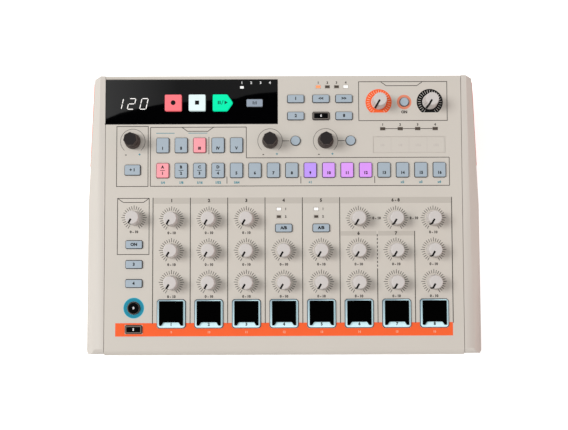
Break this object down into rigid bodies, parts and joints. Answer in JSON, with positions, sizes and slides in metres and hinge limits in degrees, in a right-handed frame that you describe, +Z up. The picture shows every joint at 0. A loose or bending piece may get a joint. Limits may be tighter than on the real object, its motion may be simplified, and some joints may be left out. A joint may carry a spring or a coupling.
{
  "type": "drum machine",
  "caption": "Wedge-shaped desktop drum machine with a sloped panel of knobs, endless encoders, step keys, rubber pads, a dark display window and sockets along the rear.",
  "frame": {"origin": "centre of the feet's undersides on the table, in the middle of the case's box", "axes": "+X to the player's right along the case, +Y to the sockets, +Z up"},
  "size_m": [0.316, 0.224, 0.0599],
  "materials": {
    "panel_plastic": "fine satin texture",
    "cheek_plastic": "fine satin texture",
    "case_plastic": "fine matte texture",
    "trim_plastic": "satin",
    "window_plastic": "polished, smoked",
    "strip_plastic": "satin",
    "lamp_plastic": "diffusing",
    "circuit_board": "solder resist",
    "socket_plastic": "moulded",
    "socket_steel": "stamped",
    "foot_rubber": "matte",
    "screw_steel": "blackened",
    "knob_plastic": "satin, moulded flats",
    "dial_plastic": "satin, moulded flutes",
    "encoder_rubber": "soft-touch",
    "pad_rubber": "matte",
    "key_plastic": "translucent satin"
  },
  "bodies": {
    "housing": {"top_panel": "panel_plastic", "bottom_case": "case_plastic", "cheek_left": "cheek_plastic", "cheek_right": "cheek_plastic", "side_trims": "trim_plastic", "display_window": "window_plastic", "touch_strip": "strip_plastic", "indicator_leds": "lamp_plastic", "control_board": "circuit_board", "jack_board": "circuit_board", "small_jacks": "socket_plastic", "large_jacks": "socket_plastic", "midi_sockets": "socket_plastic", "usb_socket": "socket_steel", "dc_socket": "socket_plastic", "feet": "foot_rubber", "case_screws": "screw_steel"},
    "metronome_knob": {"metronome_knob": "knob_plastic"},
    "voice_1_upper_knob": {"voice_1_upper_knob": "knob_plastic"},
    "voice_1_middle_knob": {"voice_1_middle_knob": "knob_plastic"},
    "voice_1_lower_knob": {"voice_1_lower_knob": "knob_plastic"},
    "voice_2_upper_knob": {"voice_2_upper_knob": "knob_plastic"},
    "voice_2_middle_knob": {"voice_2_middle_knob": "knob_plastic"},
    "voice_2_lower_knob": {"voice_2_lower_knob": "knob_plastic"},
    "voice_3_upper_knob": {"voice_3_upper_knob": "knob_plastic"},
    "voice_3_middle_knob": {"voice_3_middle_knob": "knob_plastic"},
    "voice_3_lower_knob": {"voice_3_lower_knob": "knob_plastic"},
    "voice_4_middle_knob": {"voice_4_middle_knob": "knob_plastic"},
    "voice_4_lower_knob": {"voice_4_lower_knob": "knob_plastic"},
    "voice_5_middle_knob": {"voice_5_middle_knob": "knob_plastic"},
    "voice_5_lower_knob": {"voice_5_lower_knob": "knob_plastic"},
    "voice_6_upper_knob": {"voice_6_upper_knob": "knob_plastic"},
    "voice_6_middle_knob": {"voice_6_middle_knob": "knob_plastic"},
    "voice_6_lower_knob": {"voice_6_lower_knob": "knob_plastic"},
    "voice_7_upper_knob": {"voice_7_upper_knob": "knob_plastic"},
    "voice_7_middle_knob": {"voice_7_middle_knob": "knob_plastic"},
    "voice_7_lower_knob": {"voice_7_lower_knob": "knob_plastic"},
    "voice_8_upper_knob": {"voice_8_upper_knob": "knob_plastic"},
    "voice_8_middle_knob": {"voice_8_middle_knob": "knob_plastic"},
    "voice_8_lower_knob": {"voice_8_lower_knob": "knob_plastic"},
    "drive_knob": {"drive_knob": "dial_plastic"},
    "volume_knob": {"volume_knob": "dial_plastic"},
    "tempo_encoder": {"tempo_encoder": "encoder_rubber"},
    "swing_encoder": {"swing_encoder": "encoder_rubber"},
    "random_encoder": {"random_encoder": "encoder_rubber"},
    "pad_1": {"pad_1": "pad_rubber"},
    "pad_2": {"pad_2": "pad_rubber"},
    "pad_3": {"pad_3": "pad_rubber"},
    "pad_4": {"pad_4": "pad_rubber"},
    "pad_5": {"pad_5": "pad_rubber"},
    "pad_6": {"pad_6": "pad_rubber"},
    "pad_7": {"pad_7": "pad_rubber"},
    "pad_8": {"pad_8": "pad_rubber"},
    "record_button": {"record_button": "key_plastic"},
    "stop_button": {"stop_button": "key_plastic"},
    "play_button": {"play_button": "key_plastic"},
    "step_buttons": {"step_buttons": "key_plastic"},
    "mode_buttons": {"mode_buttons": "key_plastic"},
    "function_buttons": {"function_buttons": "key_plastic"},
    "power_button": {"power_button": "socket_plastic"}
  },
  "joints": [
    {"name": "metronome_knob_turn", "type": "hinge", "parent": "housing", "child": "metronome_knob", "pos_m": [-0.1202, -0.00299, 0.03615], "axis": [0, 0.0837, -0.9965], "range_deg": [0, 300]},
    {"name": "voice_1_upper_knob_turn", "type": "hinge", "parent": "housing", "child": "voice_1_upper_knob", "pos_m": [-0.09, -0.00389, 0.03608], "axis": [0, 0.0837, -0.9965], "range_deg": [0, 300]},
    {"name": "voice_1_middle_knob_turn", "type": "hinge", "parent": "housing", "child": "voice_1_middle_knob", "pos_m": [-0.09, -0.0293, 0.03395], "axis": [0, 0.0837, -0.9965], "range_deg": [0, 300]},
    {"name": "voice_1_lower_knob_turn", "type": "hinge", "parent": "housing", "child": "voice_1_lower_knob", "pos_m": [-0.09, -0.05471, 0.03181], "axis": [0, 0.0837, -0.9965], "range_deg": [0, 300]},
    {"name": "voice_2_upper_knob_turn", "type": "hinge", "parent": "housing", "child": "voice_2_upper_knob", "pos_m": [-0.06, -0.00389, 0.03608], "axis": [0, 0.0837, -0.9965], "range_deg": [0, 300]},
    {"name": "voice_2_middle_knob_turn", "type": "hinge", "parent": "housing", "child": "voice_2_middle_knob", "pos_m": [-0.06, -0.0293, 0.03395], "axis": [0, 0.0837, -0.9965], "range_deg": [0, 300]},
    {"name": "voice_2_lower_knob_turn", "type": "hinge", "parent": "housing", "child": "voice_2_lower_knob", "pos_m": [-0.06, -0.05471, 0.03181], "axis": [0, 0.0837, -0.9965], "range_deg": [0, 300]},
    {"name": "voice_3_upper_knob_turn", "type": "hinge", "parent": "housing", "child": "voice_3_upper_knob", "pos_m": [-0.03, -0.00389, 0.03608], "axis": [0, 0.0837, -0.9965], "range_deg": [0, 300]},
    {"name": "voice_3_middle_knob_turn", "type": "hinge", "parent": "housing", "child": "voice_3_middle_knob", "pos_m": [-0.03, -0.0293, 0.03395], "axis": [0, 0.0837, -0.9965], "range_deg": [0, 300]},
    {"name": "voice_3_lower_knob_turn", "type": "hinge", "parent": "housing", "child": "voice_3_lower_knob", "pos_m": [-0.03, -0.05471, 0.03181], "axis": [0, 0.0837, -0.9965], "range_deg": [0, 300]},
    {"name": "voice_4_middle_knob_turn", "type": "hinge", "parent": "housing", "child": "voice_4_middle_knob", "pos_m": [0, -0.0293, 0.03395], "axis": [0, 0.0837, -0.9965], "range_deg": [0, 300]},
    {"name": "voice_4_lower_knob_turn", "type": "hinge", "parent": "housing", "child": "voice_4_lower_knob", "pos_m": [0, -0.05471, 0.03181], "axis": [0, 0.0837, -0.9965], "range_deg": [0, 300]},
    {"name": "voice_5_middle_knob_turn", "type": "hinge", "parent": "housing", "child": "voice_5_middle_knob", "pos_m": [0.03, -0.0293, 0.03395], "axis": [0, 0.0837, -0.9965], "range_deg": [0, 300]},
    {"name": "voice_5_lower_knob_turn", "type": "hinge", "parent": "housing", "child": "voice_5_lower_knob", "pos_m": [0.03, -0.05471, 0.03181], "axis": [0, 0.0837, -0.9965], "range_deg": [0, 300]},
    {"name": "voice_6_upper_knob_turn", "type": "hinge", "parent": "housing", "child": "voice_6_upper_knob", "pos_m": [0.06, -0.00389, 0.03608], "axis": [0, 0.0837, -0.9965], "range_deg": [0, 300]},
    {"name": "voice_6_middle_knob_turn", "type": "hinge", "parent": "housing", "child": "voice_6_middle_knob", "pos_m": [0.06, -0.0293, 0.03395], "axis": [0, 0.0837, -0.9965], "range_deg": [0, 300]},
    {"name": "voice_6_lower_knob_turn", "type": "hinge", "parent": "housing", "child": "voice_6_lower_knob", "pos_m": [0.06, -0.05471, 0.03181], "axis": [0, 0.0837, -0.9965], "range_deg": [0, 300]},
    {"name": "voice_7_upper_knob_turn", "type": "hinge", "parent": "housing", "child": "voice_7_upper_knob", "pos_m": [0.09, -0.00389, 0.03608], "axis": [0, 0.0837, -0.9965], "range_deg": [0, 300]},
    {"name": "voice_7_middle_knob_turn", "type": "hinge", "parent": "housing", "child": "voice_7_middle_knob", "pos_m": [0.09, -0.0293, 0.03395], "axis": [0, 0.0837, -0.9965], "range_deg": [0, 300]},
    {"name": "voice_7_lower_knob_turn", "type": "hinge", "parent": "housing", "child": "voice_7_lower_knob", "pos_m": [0.09, -0.05471, 0.03181], "axis": [0, 0.0837, -0.9965], "range_deg": [0, 300]},
    {"name": "voice_8_upper_knob_turn", "type": "hinge", "parent": "housing", "child": "voice_8_upper_knob", "pos_m": [0.12, -0.00389, 0.03608], "axis": [0, 0.0837, -0.9965], "range_deg": [0, 300]},
    {"name": "voice_8_middle_knob_turn", "type": "hinge", "parent": "housing", "child": "voice_8_middle_knob", "pos_m": [0.12, -0.0293, 0.03395], "axis": [0, 0.0837, -0.9965], "range_deg": [0, 300]},
    {"name": "voice_8_lower_knob_turn", "type": "hinge", "parent": "housing", "child": "voice_8_lower_knob", "pos_m": [0.12, -0.05471, 0.03181], "axis": [0, 0.0837, -0.9965], "range_deg": [0, 300]},
    {"name": "drive_knob_turn", "type": "hinge", "parent": "housing", "child": "drive_knob", "pos_m": [0.0771, 0.09008, 0.04397], "axis": [0, 0.0837, -0.9965], "range_deg": [0, 300]},
    {"name": "volume_knob_turn", "type": "hinge", "parent": "housing", "child": "volume_knob", "pos_m": [0.1185, 0.09008, 0.04397], "axis": [0, 0.0837, -0.9965], "range_deg": [0, 300]},
    {"name": "tempo_encoder_turn", "type": "hinge", "parent": "housing", "child": "tempo_encoder", "pos_m": [-0.1216, 0.05889, 0.04135], "axis": [0, 0.0837, -0.9965], "continuous": true},
    {"name": "swing_encoder_turn", "type": "hinge", "parent": "housing", "child": "swing_encoder", "pos_m": [-0.0108, 0.05889, 0.04135], "axis": [0, 0.0837, -0.9965], "continuous": true},
    {"name": "random_encoder_turn", "type": "hinge", "parent": "housing", "child": "random_encoder", "pos_m": [0.034, 0.05889, 0.04135], "axis": [0, 0.0837, -0.9965], "continuous": true},
    {"name": "pad_1_press", "type": "slide", "parent": "housing", "child": "pad_1", "axis": [0, 0.0837, -0.9965], "range_m": [0, 0.001], "stiffness_N_per_m": 600, "springref_m": -0.001},
    {"name": "pad_2_press", "type": "slide", "parent": "housing", "child": "pad_2", "axis": [0, 0.0837, -0.9965], "range_m": [0, 0.001], "stiffness_N_per_m": 600, "springref_m": -0.001},
    {"name": "pad_3_press", "type": "slide", "parent": "housing", "child": "pad_3", "axis": [0, 0.0837, -0.9965], "range_m": [0, 0.001], "stiffness_N_per_m": 600, "springref_m": -0.001},
    {"name": "pad_4_press", "type": "slide", "parent": "housing", "child": "pad_4", "axis": [0, 0.0837, -0.9965], "range_m": [0, 0.001], "stiffness_N_per_m": 600, "springref_m": -0.001},
    {"name": "pad_5_press", "type": "slide", "parent": "housing", "child": "pad_5", "axis": [0, 0.0837, -0.9965], "range_m": [0, 0.001], "stiffness_N_per_m": 600, "springref_m": -0.001},
    {"name": "pad_6_press", "type": "slide", "parent": "housing", "child": "pad_6", "axis": [0, 0.0837, -0.9965], "range_m": [0, 0.001], "stiffness_N_per_m": 600, "springref_m": -0.001},
    {"name": "pad_7_press", "type": "slide", "parent": "housing", "child": "pad_7", "axis": [0, 0.0837, -0.9965], "range_m": [0, 0.001], "stiffness_N_per_m": 600, "springref_m": -0.001},
    {"name": "pad_8_press", "type": "slide", "parent": "housing", "child": "pad_8", "axis": [0, 0.0837, -0.9965], "range_m": [0, 0.001], "stiffness_N_per_m": 600, "springref_m": -0.001},
    {"name": "record_button_press", "type": "slide", "parent": "housing", "child": "record_button", "axis": [0, 0.0837, -0.9965], "range_m": [0, 0.0008], "stiffness_N_per_m": 400, "springref_m": -0.001},
    {"name": "stop_button_press", "type": "slide", "parent": "housing", "child": "stop_button", "axis": [0, 0.0837, -0.9965], "range_m": [0, 0.0008], "stiffness_N_per_m": 400, "springref_m": -0.001},
    {"name": "play_button_press", "type": "slide", "parent": "housing", "child": "play_button", "axis": [0, 0.0837, -0.9965], "range_m": [0, 0.0008], "stiffness_N_per_m": 400, "springref_m": -0.001},
    {"name": "step_buttons_press", "type": "slide", "parent": "housing", "child": "step_buttons", "axis": [0, 0.0837, -0.9965], "range_m": [0, 0.0008], "stiffness_N_per_m": 400, "springref_m": -0.001},
    {"name": "mode_buttons_press", "type": "slide", "parent": "housing", "child": "mode_buttons", "axis": [0, 0.0837, -0.9965], "range_m": [0, 0.0008], "stiffness_N_per_m": 400, "springref_m": -0.001},
    {"name": "function_buttons_press", "type": "slide", "parent": "housing", "child": "function_buttons", "axis": [0, 0.0837, -0.9965], "range_m": [0, 0.0008], "stiffness_N_per_m": 400, "springref_m": -0.001},
    {"name": "power_button_press", "type": "slide", "parent": "housing", "child": "power_button", "axis": [0, -1, 0], "range_m": [0, 0.002], "stiffness_N_per_m": 300, "springref_m": -0.001}
  ]
}
